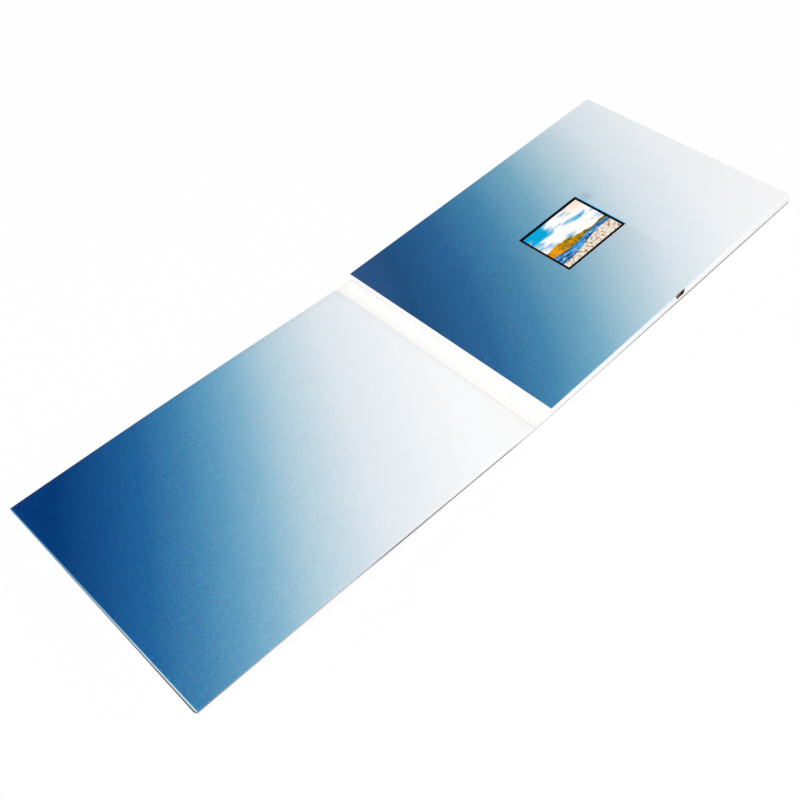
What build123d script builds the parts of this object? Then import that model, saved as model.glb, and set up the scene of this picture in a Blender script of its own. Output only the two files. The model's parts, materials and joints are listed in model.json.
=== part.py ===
from build123d import *

import os

# A video brochure: a thin card cover that folds open on a spine, beside a flat block
# that holds a small display, its main board, battery, speaker and magnetic switch.
# Millimetres. The origin is the middle of the block's underside, on the table.
# +X runs away from the spine, +Y to the back, +Z up. The cover lies on the -X side.

# ---- driving dimensions --------------------------------------------------------------

# panels: both are the same landscape format
panel_width = 210.0
panel_depth = 148.0
paper_thickness = 0.25          # laminated paper of the outer wrap and the linings
cover_board_thickness = 1.2     # stiffener inside the front cover
back_board_thickness = 1.0      # stiffener under the block
block_sheet_thickness = 0.4     # printed card that caps the block and folds down its sides
fold_radius = 0.7               # outside of the cap's folds
strip_width = 3.0               # card strips that form the block's side walls

# folds
spine_width = 9.9               # from crease to crease
crease_gap = 0.3                # from a crease to the sheets beside it
fold_clearance = 0.325          # left between the folded spine and its neighbours
cover_lift = 3.6                # degrees that the stiff crease holds the open cover up

# window and display
window_width = 48.8
window_depth = 36.8
window_x = 1.2
window_y = 0.4
picture_width = 46.6
picture_depth = 34.0
display_side_margin = 3.6       # from the picture to the module's edge, left and right
display_back_margin = 4.0
display_front_margin = 9.0      # the ledge that carries the driver chip
mask_thickness = 0.15
upper_glass_thickness = 0.6
lower_glass_thickness = 0.5
ledge_depth = 6.0
diffuser_thickness = 0.15
light_guide_thickness = 0.8
tray_floor_thickness = 0.3
tray_wall = 0.6
led_width = 3.0
led_depth = 1.0
led_pitch = 9.0
led_count = 4
driver_width = 14.0
driver_depth = 1.4
driver_height = 0.4
driver_setback = 1.6            # from the glass step to the driver chip
flex_width = 20.0
flex_thickness = 0.2
flex_overlap = 1.5              # on the glass ledge
flex_landing = 5.0              # soldered length on the main board
flex_run = 2.0                  # level length before the ribbon bends down

# main board
board_width = 64.0
board_display_gap = 6.7         # from the board's back edge to the display
board_thickness = 0.8
board_pad_thickness = 1.4       # foam that holds the board up, level with its socket's opening
processor_size = 12.0
processor_height = 1.2
processor_offset_x = 0.0
processor_offset_y = 0.0
memory_width = 12.0
memory_depth = 18.0
memory_height = 1.1
memory_offset_x = -18.5
memory_offset_y = 2.0
amplifier_width = 5.0
amplifier_depth = 4.0
amplifier_height = 1.4
amplifier_offset_x = 17.0
amplifier_offset_y = -3.0
crystal_width = 5.0
crystal_depth = 3.2
crystal_height = 1.2
crystal_corner = 0.8
crystal_offset_x = 11.5
crystal_offset_y = 4.0
passive_length = 1.6
passive_width = 0.8
passive_height = 0.7
passive_pitch = 3.0
passive_count = 5
passive_offset_x = 10.0
passive_inset = 6.0             # from the board's front edge
connector_width = 6.0
connector_depth = 4.0
connector_height = 1.6
connector_inset = 1.5           # from the board's side edge
lead_connector_offset_y = -1.0
switch_connector_inset = 6.0    # from the board's back edge to its middle
switch_lead_end_length = 5.4    # from the turn in the switch's leads to their connector

# charging and data socket, in the middle of the block's front side
port_x = 1.0
port_width = 7.5
port_height = 2.5
port_length = 7.0
port_wall = 0.3
port_corner = 0.8               # chamfer of the two lower corners
port_recess = 0.25              # behind the block's side face
port_clearance = 0.25           # between the socket and the card around it
port_headroom = 0.05            # between the socket and the cap sheet
port_back_depth = 2.5
tongue_width = 3.9
tongue_height = 0.6
tongue_setback = 1.0
contact_width = 0.35
contact_height = 0.12
contact_length = 3.0
contact_pitch = 0.65
contact_count = 5

# battery
battery_width = 34.0
battery_length = 50.0
battery_thickness = 3.0
battery_corner = 2.5            # round of the pouch's upright corners
battery_y = -2.0
protection_width = 30.0
protection_depth = 3.6
protection_height = 1.2
battery_pad_inset = 3.0

# speaker
speaker_radius = 13.5
speaker_y = -30.0
basket_wall = 0.5
basket_height = 2.15
basket_throat = 3.5
speaker_magnet_radius = 7.0
speaker_magnet_height = 1.6
cone_thickness = 0.3
cone_edge_gap = 0.25
cone_drop = 1.0
dome_radius = 5.0
gasket_width = 1.5
tab_length = 3.0
tab_width = 6.0
tab_height = 1.2

# magnetic switch, and the magnet in the cover that works it
switch_gap = 2.5                # between the display and the switch's board
switch_y = 15.7
switch_board_width = 5.0
switch_board_depth = 8.0
switch_board_thickness = 0.8
sensor_width = 3.0
sensor_depth = 1.5
sensor_height = 1.1
magnet_radius = 5.0
magnet_thickness = 0.8
magnet_clearance = 0.2

# filler and leads
pocket_clearance = 0.3          # around each component in the filler
foam_margin = 5.0               # filler between a component and the side strips
lead_diameter = 1.0
lead_pitch = 2.0
lead_bend = 5.0
switch_lead_diameter = 0.6
switch_lead_pitch = 1.2
switch_lead_bend = 3.0
battery_lead_offset = 6.0       # from the cell's middle to its leads, away from the hinge
channel_margin = 1.0
corner_relief = 0.4             # share of a lead's bend radius that widens a channel's corner

# ---- places worked out from them ------------------------------------------------------

half_width = panel_width / 2
half_depth = panel_depth / 2
cavity_floor = paper_thickness + back_board_thickness
board_bottom = cavity_floor + board_pad_thickness
board_top = board_bottom + board_thickness
cavity_top = board_top + port_height + port_headroom
block_height = cavity_top + block_sheet_thickness
flap_inner_x = half_width - block_sheet_thickness
flap_inner_y = half_depth - block_sheet_thickness
cavity_x = flap_inner_x - strip_width
cavity_y = flap_inner_y - strip_width

spine_thickness = 2 * paper_thickness
crease_height = paper_thickness / 2
fold_setback = spine_thickness - crease_height + fold_clearance
crease_a_x = -half_width - fold_setback
crease_b_x = crease_a_x - spine_width
cover_inner_edge = crease_b_x - fold_setback
cover_outer_edge = cover_inner_edge - panel_width
cover_thickness = 2 * paper_thickness + cover_board_thickness

display_left = window_x - picture_width / 2 - display_side_margin
display_right = window_x + picture_width / 2 + display_side_margin
display_front = window_y - picture_depth / 2 - display_front_margin
display_back = window_y + picture_depth / 2 + display_back_margin
upper_glass_top = cavity_top - mask_thickness
lower_glass_top = upper_glass_top - upper_glass_thickness
lower_glass_bottom = lower_glass_top - lower_glass_thickness
light_guide_top = lower_glass_bottom - diffuser_thickness
light_guide_bottom = light_guide_top - light_guide_thickness
tray_bottom = light_guide_bottom - tray_floor_thickness

board_front = -cavity_y + pocket_clearance
board_back = display_front - board_display_gap
board_y = (board_front + board_back) / 2
board_left = port_x - board_width / 2
board_right = port_x + board_width / 2
lead_height = board_top + connector_height / 2
lead_connector_y = board_y + lead_connector_offset_y
switch_connector_y = board_back - switch_connector_inset

port_mouth = -half_depth + port_recess
port_rear = port_mouth + port_length
port_block_front = port_rear - port_back_depth
tongue_top = board_top + port_height / 2 + tongue_height / 2

battery_left = -cavity_x + foam_margin
battery_x = battery_left + battery_width / 2
battery_front = battery_y - battery_length / 2
protection_front = battery_front - protection_depth

speaker_x = cavity_x - foam_margin - speaker_radius
basket_bottom = cavity_floor + speaker_magnet_height
basket_top = basket_bottom + basket_height
tab_end_x = speaker_x - speaker_radius - tab_length
speaker_turn_x = (tab_end_x + board_right) / 2

switch_board_bottom = lead_height - switch_board_thickness / 2
switch_x = display_right + switch_gap + switch_board_width / 2
switch_connector_x = switch_x - switch_lead_end_length - connector_depth / 2
magnet_x = crease_b_x - (switch_x - crease_a_x)


# ---- shared shapes --------------------------------------------------------------------

def slab(x0, x1, y0, y1, z0, z1):
    """A box between two corners."""
    middle = Pos((x0 + x1) / 2, (y0 + y1) / 2, (z0 + z1) / 2)
    return middle * Box(x1 - x0, y1 - y0, z1 - z0)


def block_on(x, y, z, width, depth, height):
    """A box that stands on height z, centred on x and y."""
    return slab(x - width / 2, x + width / 2, y - depth / 2, y + depth / 2, z, z + height)


def turned(points, x, y):
    """A closed profile of radius and height points, turned about a vertical axis."""
    profile = Plane.XZ * make_face(Polyline(*points, close=True))
    return Pos(x, y, 0) * revolve(profile, Axis.Z)


def parallel(route, offset):
    """A route of right-angled runs, moved sideways by offset."""
    moved = []
    for index, point in enumerate(route):
        sides = set()
        for start, end in zip(route[max(index - 1, 0):index + 1], route[max(index, 1):index + 2]):
            run = (Vector(*end) - Vector(*start)).normalized()
            sides.add((round(-run.Y), round(run.X)))
        moved.append((point[0] + offset * sum(side[0] for side in sides),
                      point[1] + offset * sum(side[1] for side in sides)))
    return moved


def lead(route, diameter, bend):
    """A round lead at lead height along a flat route."""
    path = FilletPolyline(*[(x, y, lead_height) for x, y in route], radius=bend)
    start = Plane(origin=path @ 0, z_dir=path % 0)
    return sweep(start * Circle(diameter / 2), path=path)


def channel(route, width, bend):
    """The space in the filler around a route of right-angled runs, wider at its corners."""
    half = width / 2
    spaces = []
    for (x0, y0), (x1, y1) in zip(route, route[1:]):
        spaces.append(slab(min(x0, x1) - half, max(x0, x1) + half, min(y0, y1) - half,
                           max(y0, y1) + half, cavity_floor, cavity_top))
    corner = width + 2 * corner_relief * bend
    for x, y in route[1:-1]:
        spaces.append(block_on(x, y, cavity_floor, corner, corner, cavity_top - cavity_floor))
    return spaces


def lifted(piece):
    """A cover piece turned up about the cover crease, as the open cover stands."""
    crease = Axis((crease_b_x, 0, crease_height), (0, 1, 0))
    return piece.rotate(crease, cover_lift)


# ---- routes ---------------------------------------------------------------------------

battery_route = [
    (battery_x + battery_lead_offset, protection_front),
    (battery_x + battery_lead_offset, lead_connector_y),
    (board_left + connector_inset, lead_connector_y),
]
speaker_route = [
    (tab_end_x, speaker_y),
    (speaker_turn_x, speaker_y),
    (speaker_turn_x, lead_connector_y),
    (board_right - connector_inset, lead_connector_y),
]
switch_route = [
    (switch_x, switch_y - switch_board_depth / 2),
    (switch_x, switch_connector_y),
    (switch_connector_x + connector_depth / 2, switch_connector_y),
]


# ---- back cover and block shell ---------------------------------------------------------

def back_cover_outer_sheet():
    return slab(crease_a_x + crease_gap, half_width, -half_depth, half_depth, 0, paper_thickness)


def back_cover_board():
    return slab(-half_width, half_width, -half_depth, half_depth, paper_thickness, cavity_floor)


def side_strip_back():
    return slab(-flap_inner_x, flap_inner_x, cavity_y, flap_inner_y, cavity_floor, cavity_top)


def side_strip_front_left():
    port_edge = port_x - port_width / 2 - port_clearance
    return slab(-flap_inner_x, port_edge, -flap_inner_y, -cavity_y, cavity_floor, cavity_top)


def side_strip_front_right():
    port_edge = port_x + port_width / 2 + port_clearance
    return slab(port_edge, flap_inner_x, -flap_inner_y, -cavity_y, cavity_floor, cavity_top)


def side_strip_outer():
    return slab(cavity_x, flap_inner_x, -cavity_y, cavity_y, cavity_floor, cavity_top)


def side_strip_hinge():
    return slab(-flap_inner_x, -cavity_x, -cavity_y, cavity_y, cavity_floor, cavity_top)


def block_print_sheet():
    """The printed cap with its window, folded down the four sides, and cut out at the socket."""
    cap = slab(-half_width, half_width, -half_depth, half_depth, cavity_floor, block_height)
    hollow = slab(-flap_inner_x, flap_inner_x, -flap_inner_y, flap_inner_y, cavity_floor, cavity_top)
    window = block_on(window_x, window_y, cavity_top, window_width, window_depth,
                      block_sheet_thickness)
    port_cut_width = port_width + 2 * port_clearance
    port_cut = block_on(port_x, -half_depth + block_sheet_thickness / 2, board_top - port_clearance,
                        port_cut_width, block_sheet_thickness,
                        cavity_top - board_top + port_clearance)
    folded = cap.edges().group_by(Axis.Z)[-1]
    return fillet(folded, fold_radius) - hollow - window - port_cut


def foam_filler():
    """The soft filler between the strips, cut out for each component and lead."""
    filler = slab(-cavity_x, cavity_x, -cavity_y, cavity_y, cavity_floor, cavity_top)
    gap = pocket_clearance
    level = (cavity_floor, cavity_top)
    pockets = [
        slab(display_left - gap, display_right + gap, display_front - gap, display_back + gap, *level),
        slab(window_x - flex_width / 2 - gap, window_x + flex_width / 2 + gap, board_back,
             display_front, *level),
        slab(board_left - gap, board_right + gap, -cavity_y, board_back + gap, *level),
        slab(battery_left - gap, battery_left + battery_width + gap, protection_front - gap,
             battery_y + battery_length / 2 + gap, *level),
        slab(tab_end_x - gap, speaker_x, speaker_y - tab_width / 2 - gap,
             speaker_y + tab_width / 2 + gap, *level),
        Pos(speaker_x, speaker_y, (cavity_floor + cavity_top) / 2)
        * Cylinder(speaker_radius + gap, cavity_top - cavity_floor),
        block_on(switch_x, switch_y, cavity_floor, switch_board_width + 2 * gap,
                 switch_board_depth + 2 * gap, cavity_top - cavity_floor),
    ]
    pair_width = lead_pitch + lead_diameter + channel_margin
    triple_width = 2 * switch_lead_pitch + switch_lead_diameter + channel_margin
    pockets += channel(battery_route, pair_width, lead_bend)
    pockets += channel(speaker_route, pair_width, lead_bend)
    pockets += channel(switch_route, triple_width, switch_lead_bend)
    for pocket in pockets:
        filler -= pocket
    return filler


# ---- display ------------------------------------------------------------------------------

def module_plate(bottom, top, inset=0.0):
    """A plate of the display module's outline, or smaller by an inset."""
    return slab(display_left + inset, display_right - inset, display_front + inset,
                display_back - inset, bottom, top)


def display_pad():
    return module_plate(cavity_floor, tray_bottom)


def backlight_tray():
    tray = module_plate(tray_bottom, lower_glass_bottom)
    return tray - module_plate(light_guide_bottom, lower_glass_bottom, tray_wall)


def light_guide():
    guide = module_plate(light_guide_bottom, light_guide_top, tray_wall)
    for led in led_places():
        guide -= block_on(*led, light_guide_bottom, led_width, led_depth, light_guide_thickness)
    return guide


def led_places():
    """The middles of the lamps along the tray's front wall."""
    y = display_front + tray_wall + led_depth / 2
    return [(window_x + (index - (led_count - 1) / 2) * led_pitch, y) for index in range(led_count)]


def backlight_leds():
    return Compound([block_on(*led, light_guide_bottom, led_width, led_depth, light_guide_thickness)
                     for led in led_places()])


def diffuser_film():
    return module_plate(light_guide_top, lower_glass_bottom, tray_wall)


def display_glass():
    """The lower glass with its ledge, and the upper glass bonded to it."""
    lower = module_plate(lower_glass_bottom, lower_glass_top)
    upper = slab(display_left, display_right, display_front + ledge_depth, display_back,
                 lower_glass_top, upper_glass_top)
    return lower + upper


def screen_mask():
    """The black adhesive frame between the glass and the cap sheet."""
    outer = slab(display_left, display_right, display_front + ledge_depth, display_back,
                 upper_glass_top, cavity_top)
    return outer - block_on(window_x, window_y, upper_glass_top, picture_width, picture_depth,
                            mask_thickness)


def display_driver_chip():
    y = display_front + ledge_depth - driver_setback - driver_depth / 2
    return block_on(window_x, y, lower_glass_top, driver_width, driver_depth, driver_height)


def display_flex():
    """The ribbon from the glass ledge down to the main board."""
    top = lower_glass_top + flex_thickness / 2
    bottom = board_top + flex_thickness / 2
    bend_start = display_front - flex_run
    bend_end = board_back + flex_run / 2
    line = Polyline(
        (display_front + flex_overlap, top),
        (bend_start, top),
        (bend_end, bottom),
        (board_back - flex_landing, bottom),
    )
    section = Plane.YZ * trace(line, flex_thickness)
    return Pos(window_x - flex_width / 2, 0, 0) * extrude(section, flex_width, dir=(1, 0, 0))


# ---- main board ----------------------------------------------------------------------------

def board_pad():
    return slab(board_left, board_right, board_front, board_back, cavity_floor, board_bottom)


def main_board():
    return slab(board_left, board_right, board_front, board_back, board_bottom, board_top)


def on_board(offset_x, offset_y, width, depth, height):
    """A component on the main board, placed from the board's middle."""
    return block_on(port_x + offset_x, board_y + offset_y, board_top, width, depth, height)


def video_processor():
    return on_board(processor_offset_x, processor_offset_y, processor_size, processor_size,
                    processor_height)


def flash_memory():
    return on_board(memory_offset_x, memory_offset_y, memory_width, memory_depth, memory_height)


def audio_amplifier():
    return on_board(amplifier_offset_x, amplifier_offset_y, amplifier_width, amplifier_depth,
                    amplifier_height)


def crystal():
    can = on_board(crystal_offset_x, crystal_offset_y, crystal_width, crystal_depth, crystal_height)
    return fillet(can.edges().filter_by(Axis.Z), crystal_corner)


def board_passives():
    """Small capacitors and resistors in a row on each side of the socket."""
    row = []
    for side in (-1, 1):
        for index in range(passive_count):
            x = port_x + side * (passive_offset_x + index * passive_pitch)
            row.append(block_on(x, board_front + passive_inset, board_top, passive_width,
                                passive_length, passive_height))
    return Compound(row)


def connector(x, y):
    return block_on(x, y, board_top, connector_depth, connector_width, connector_height)


def battery_connector():
    return connector(board_left + connector_inset + connector_depth / 2, lead_connector_y)


def speaker_connector():
    return connector(board_right - connector_inset - connector_depth / 2, lead_connector_y)


def switch_connector():
    return connector(switch_connector_x, switch_connector_y)


# ---- charging and data socket ----------------------------------------------------------------

def port_profile(inset):
    """The socket's section: a box with its two lower corners cut off, drawn inside by inset."""
    half = port_width / 2 - inset
    low = board_top + inset
    high = board_top + port_height - inset
    corner = port_corner
    return make_face(Polyline(
        (port_x - half + corner, low), (port_x + half - corner, low), (port_x + half, low + corner),
        (port_x + half, high), (port_x - half, high), (port_x - half, low + corner), close=True))


def port_solid(inset, front, back):
    """The socket's section run from front to back."""
    section = Plane.XZ * port_profile(inset)
    return Pos(0, back, 0) * extrude(section, back - front, dir=(0, -1, 0))


def usb_shell():
    return port_solid(0, port_mouth, port_rear) - port_solid(port_wall, port_mouth, port_rear)


def usb_insulator():
    """The moulded back of the socket and the tongue that a plug slides over."""
    back = port_solid(port_wall, port_block_front, port_rear)
    tongue = slab(port_x - tongue_width / 2, port_x + tongue_width / 2, port_mouth + tongue_setback,
                  port_block_front, tongue_top - tongue_height, tongue_top)
    return back + tongue


def usb_contacts():
    contacts = []
    for index in range(contact_count):
        x = port_x + (index - (contact_count - 1) / 2) * contact_pitch
        contacts.append(block_on(x, port_block_front - contact_length / 2, tongue_top,
                                 contact_width, contact_length, contact_height))
    return Compound(contacts)


# ---- battery -----------------------------------------------------------------------------------

def battery_cell():
    cell = block_on(battery_x, battery_y, cavity_floor, battery_width, battery_length,
                    battery_thickness)
    return fillet(cell.edges().filter_by(Axis.Z), battery_corner)


def battery_protection_board():
    return slab(battery_x - protection_width / 2, battery_x + protection_width / 2,
                protection_front, battery_front, lead_height - protection_height / 2,
                lead_height + protection_height / 2)


def battery_pad():
    return block_on(battery_x, battery_y, cavity_floor + battery_thickness,
                    battery_width - 2 * battery_pad_inset, battery_length - 2 * battery_pad_inset,
                    cavity_top - cavity_floor - battery_thickness)


def battery_lead_red():
    return lead(parallel(battery_route, lead_pitch / 2), lead_diameter, lead_bend)


def battery_lead_black():
    return lead(parallel(battery_route, -lead_pitch / 2), lead_diameter, lead_bend)


# ---- speaker ------------------------------------------------------------------------------------

def speaker_magnet():
    return Pos(speaker_x, speaker_y, cavity_floor + speaker_magnet_height / 2) * Cylinder(
        speaker_magnet_radius, speaker_magnet_height)


def speaker_basket():
    """A shallow metal cup with a hole in its floor, and the solder tab at its side."""
    cup = turned([
        (basket_throat, basket_bottom), (speaker_radius, basket_bottom),
        (speaker_radius, basket_top), (speaker_radius - basket_wall, basket_top),
        (speaker_radius - basket_wall, basket_bottom + basket_wall),
        (basket_throat, basket_bottom + basket_wall)], speaker_x, speaker_y)
    tab = slab(tab_end_x, speaker_x - speaker_radius + basket_wall, speaker_y - tab_width / 2,
               speaker_y + tab_width / 2, lead_height - tab_height / 2, lead_height + tab_height / 2)
    bore = Pos(speaker_x, speaker_y, basket_bottom) * Cylinder(
        speaker_radius - basket_wall, 2 * basket_height)
    return cup + (tab - bore)


def speaker_cone():
    """The film cone, with a flat dome in its middle."""
    rim = speaker_radius - basket_wall - cone_edge_gap
    low = basket_top - cone_drop
    return turned([
        (0, low), (dome_radius, low), (rim, basket_top), (rim, basket_top + cone_thickness),
        (dome_radius, low + cone_thickness), (0, low + cone_thickness)], speaker_x, speaker_y)


def speaker_gasket():
    """The foam ring between the basket's rim and the cap sheet."""
    return turned([
        (speaker_radius - gasket_width, basket_top + cone_thickness),
        (speaker_radius, basket_top + cone_thickness), (speaker_radius, cavity_top),
        (speaker_radius - gasket_width, cavity_top)], speaker_x, speaker_y)


def speaker_leads():
    return Compound([lead(parallel(speaker_route, side * lead_pitch / 2), lead_diameter, lead_bend)
                     for side in (-1, 1)])


# ---- magnetic switch --------------------------------------------------------------------------------

def switch_pad():
    return block_on(switch_x, switch_y, cavity_floor, switch_board_width, switch_board_depth,
                    switch_board_bottom - cavity_floor)


def switch_board():
    return block_on(switch_x, switch_y, switch_board_bottom, switch_board_width,
                    switch_board_depth, switch_board_thickness)


def hall_sensor():
    return block_on(switch_x, switch_y, switch_board_bottom + switch_board_thickness, sensor_width,
                    sensor_depth, sensor_height)


def switch_leads():
    return Compound([lead(parallel(switch_route, step * switch_lead_pitch), switch_lead_diameter,
                          switch_lead_bend) for step in (-1, 0, 1)])


# ---- spine --------------------------------------------------------------------------------------------

def spine_outer_sheet():
    return slab(crease_b_x + crease_gap, crease_a_x - crease_gap, -half_depth, half_depth, 0,
                paper_thickness)


def spine_lining():
    return slab(crease_b_x + crease_gap, crease_a_x - crease_gap, -half_depth, half_depth,
                paper_thickness, spine_thickness)


# ---- front cover ----------------------------------------------------------------------------------------

def front_cover_outer_sheet():
    return lifted(slab(cover_outer_edge, crease_b_x - crease_gap, -half_depth, half_depth, 0,
                       paper_thickness))


def front_cover_board():
    board = slab(cover_outer_edge, cover_inner_edge, -half_depth, half_depth, paper_thickness,
                 paper_thickness + cover_board_thickness)
    seat = magnet_disc(magnet_radius + magnet_clearance, cover_board_thickness)
    return lifted(board - seat)


def magnet_disc(radius, height):
    """A disc on the cover's outer sheet, at the magnet's place."""
    return Pos(magnet_x, switch_y, paper_thickness + height / 2) * Cylinder(radius, height)


def cover_magnet():
    return lifted(magnet_disc(magnet_radius, magnet_thickness))


def front_cover_inner_sheet():
    return lifted(slab(cover_outer_edge, cover_inner_edge, -half_depth, half_depth,
                       cover_thickness - paper_thickness, cover_thickness))


# ---- files ------------------------------------------------------------------------------------------------

pieces = [
    back_cover_outer_sheet, back_cover_board, side_strip_back, side_strip_front_left,
    side_strip_front_right, side_strip_outer, side_strip_hinge, block_print_sheet, foam_filler,
    display_pad, backlight_tray, light_guide, backlight_leds, diffuser_film, display_glass,
    screen_mask, display_driver_chip, display_flex, board_pad, main_board, video_processor,
    flash_memory, audio_amplifier, crystal, board_passives, battery_connector, speaker_connector,
    switch_connector, usb_shell, usb_insulator, usb_contacts, battery_cell,
    battery_protection_board, battery_pad, battery_lead_red, battery_lead_black, speaker_magnet,
    speaker_basket, speaker_cone, speaker_gasket, speaker_leads, switch_pad, switch_board,
    hall_sensor, switch_leads, spine_outer_sheet, spine_lining, front_cover_outer_sheet,
    front_cover_board, cover_magnet, front_cover_inner_sheet,
]

os.makedirs("parts", exist_ok=True)
for piece in pieces:
    export_step(piece(), f"parts/{piece.__name__}.step")
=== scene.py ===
import json
import math

import bmesh
import bpy
from mathutils import Matrix, Vector


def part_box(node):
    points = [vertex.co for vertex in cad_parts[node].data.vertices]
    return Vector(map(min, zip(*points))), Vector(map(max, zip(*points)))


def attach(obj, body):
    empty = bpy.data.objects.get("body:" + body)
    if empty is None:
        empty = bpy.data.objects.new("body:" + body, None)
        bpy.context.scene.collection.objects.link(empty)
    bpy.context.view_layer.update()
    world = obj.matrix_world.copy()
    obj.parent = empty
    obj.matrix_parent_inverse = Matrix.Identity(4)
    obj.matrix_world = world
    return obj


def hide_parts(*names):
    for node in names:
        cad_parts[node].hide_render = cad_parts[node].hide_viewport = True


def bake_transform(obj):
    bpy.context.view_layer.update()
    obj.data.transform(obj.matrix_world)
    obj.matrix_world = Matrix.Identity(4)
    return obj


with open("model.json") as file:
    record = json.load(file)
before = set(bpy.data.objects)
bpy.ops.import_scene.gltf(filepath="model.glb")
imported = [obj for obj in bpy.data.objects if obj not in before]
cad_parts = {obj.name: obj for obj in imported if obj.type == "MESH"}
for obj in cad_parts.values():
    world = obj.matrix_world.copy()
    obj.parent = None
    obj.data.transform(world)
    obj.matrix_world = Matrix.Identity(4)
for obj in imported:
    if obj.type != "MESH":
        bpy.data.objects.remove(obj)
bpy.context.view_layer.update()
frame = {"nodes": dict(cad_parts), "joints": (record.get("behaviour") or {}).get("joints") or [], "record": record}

# A card video brochure, open on a pale table: a print-covered block with a small display,
# and a front cover that stands a little off the table at its spine.
# Lengths are metres unless a name says mm.

mm = 0.001

# ---- sizes ---------------------------------------------------------------------------

cover_lift = math.radians(3.6)      # the open cover's slope at its crease
front_bow = 0.7 * mm                # the cover's crown along its front edge
back_bow = 1.1 * mm                 # and along its back edge
edge_sag = 0.5 * mm                 # hollow of the cover's outer edge, between its corners
cap_thickness = 0.4 * mm
paper_thickness = 0.25 * mm
cover_thickness = 1.7 * mm
fold_radius = 0.7 * mm
fold_segments = 6
cut_edge_round = 0.05 * mm
sharp_angle = math.radians(50)      # edges sharper than this are rounded
smooth_angle = math.radians(40)     # and shallower ones are shaded smooth
touching = 1e-6                     # places this close are the same
socket_clearance = 0.42 * mm        # under the socket
socket_lap = 0.25 * mm              # card over the socket's end nearer the hinge
socket_corners = (1.4 * mm, 0.6 * mm)   # cut off the opening's two lower corners
opening_headroom = 0.3 * mm         # card left over the opening, in the cap's fold
dimple_middle = (30.2 * mm, 14.4 * mm)
dimple_radius = 4.5 * mm
dimple_depth = 0.05 * mm
dimple_margin = 1.1                 # the fine mesh reaches this many radii out
dimple_cuts = 30
card_cell = 5 * mm                  # grid of the bowed cover
foot_slant = 0.95 * mm              # the cover's outer cut leans out by this, near its front corner
face_slant = 0.15 * mm              # and its printed face by this
slant_corner = 2 * mm               # the lean runs out this far from the front corner
slant_fall = 1.5                    # and fades towards the back with this power
magnet_radius = 5 * mm
magnet_thickness = 0.8 * mm
magnet_clearance = 0.2 * mm
magnet_rim = 0.1 * mm
magnet_sides = 64
crease_cells = 16
crease_paper = 0.2 * mm             # lining that turns up the block's wall
crease_gap = 0.3 * mm               # bare crease beside the cover's outer sheet
crease_lap = 1.0 * mm               # the cover's lining laps this far onto the spine
drop_share = 0.75                   # of that lining's length drops down the board's end
level_share = 0.5                   # of the block's lining lies level before its turn
turn_share = 0.25                   # of it turns up, and the rest climbs the wall
foot_round = 0.15 * mm
foot_gap = 0.02 * mm
foot_height = 0.8 * mm

cap_low, cap_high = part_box("block_print_sheet")
socket_low, socket_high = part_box("usb_shell")
mask_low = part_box("screen_mask")[0]
spine_low, spine_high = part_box("spine_lining")
spine_outer_low, spine_outer_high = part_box("spine_outer_sheet")
back_sheet_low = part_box("back_cover_outer_sheet")[0]
switch_low, switch_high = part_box("switch_board")
creases = {joint["name"]: Vector(joint["pos_m"]) for joint in frame["joints"]}
block_crease = creases["spine_crease"]
cover_crease = creases["cover_crease"]

panel_width = cap_high.x - cap_low.x
panel_depth = cap_high.y - cap_low.y
fold_setback = cap_low.x - block_crease.x
cover_start = cover_crease.x - fold_setback
cover_end = cover_start - panel_width
cover_middle = (cover_start + cover_end) / 2
switch_middle = (switch_low + switch_high) / 2
magnet_middle = Vector((cover_crease.x + block_crease.x - switch_middle.x, switch_middle.y,
                        paper_thickness + magnet_thickness / 2))

window_width = 48.8 * mm
window_depth = 36.8 * mm
window_middle = Vector((1.2 * mm, 0.4 * mm))
picture_width = 46.3 * mm
picture_depth = 33.7 * mm
picture_middle = Vector((1.5 * mm, 0.55 * mm))


# ---- modelling -----------------------------------------------------------------------

def choose(piece):
    """Selects this object alone."""
    bpy.ops.object.select_all(action="DESELECT")
    piece.select_set(True)
    bpy.context.view_layer.objects.active = piece


def open_mesh(piece):
    """Enters edit mode with all of the piece's faces selected."""
    choose(piece)
    bpy.ops.object.mode_set(mode="EDIT")
    bpy.ops.mesh.select_mode(type="FACE")
    bpy.ops.mesh.select_all(action="SELECT")


def close_mesh():
    """Leaves edit mode."""
    bpy.ops.object.mode_set(mode="OBJECT")


def pick(piece, kind, test):
    """In edit mode, selects the faces or edges whose middle passes the test."""
    bpy.ops.mesh.select_mode(type=kind)
    bpy.ops.mesh.select_all(action="DESELECT")
    mesh = bmesh.from_edit_mesh(piece.data)
    for element in mesh.faces if kind == "FACE" else mesh.edges:
        middle = sum((vertex.co for vertex in element.verts), Vector()) / len(element.verts)
        if test(middle, element):
            element.select_set(True)
    bmesh.update_edit_mesh(piece.data)


def cut(piece, place, normal, test=None):
    """In edit mode, cuts the mesh, or the faces that pass the test, along a plane."""
    if test:
        pick(piece, "FACE", test)
    else:
        bpy.ops.mesh.select_all(action="SELECT")
    bpy.ops.mesh.bisect(plane_co=place, plane_no=normal)


def modify(piece, kind, **settings):
    """Adds a modifier with these settings and applies it."""
    choose(piece)
    modifier = piece.modifiers.new(kind.title(), kind)
    for name, value in settings.items():
        setattr(modifier, name, value)
    bpy.ops.object.modifier_apply(modifier=modifier.name)


def soften(piece):
    """Smooth shading over shallow angles."""
    choose(piece)
    bpy.ops.object.shade_smooth_by_angle(angle=smooth_angle)


def settle(piece):
    """Puts the object at the origin, with its place in its mesh."""
    choose(piece)
    bpy.ops.object.transform_apply(location=True, rotation=True, scale=True)


def reshape(piece, move):
    """Moves each vertex to where move says."""
    for vertex in piece.data.vertices:
        vertex.co = move(vertex.co.copy())
    piece.data.update()


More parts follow.
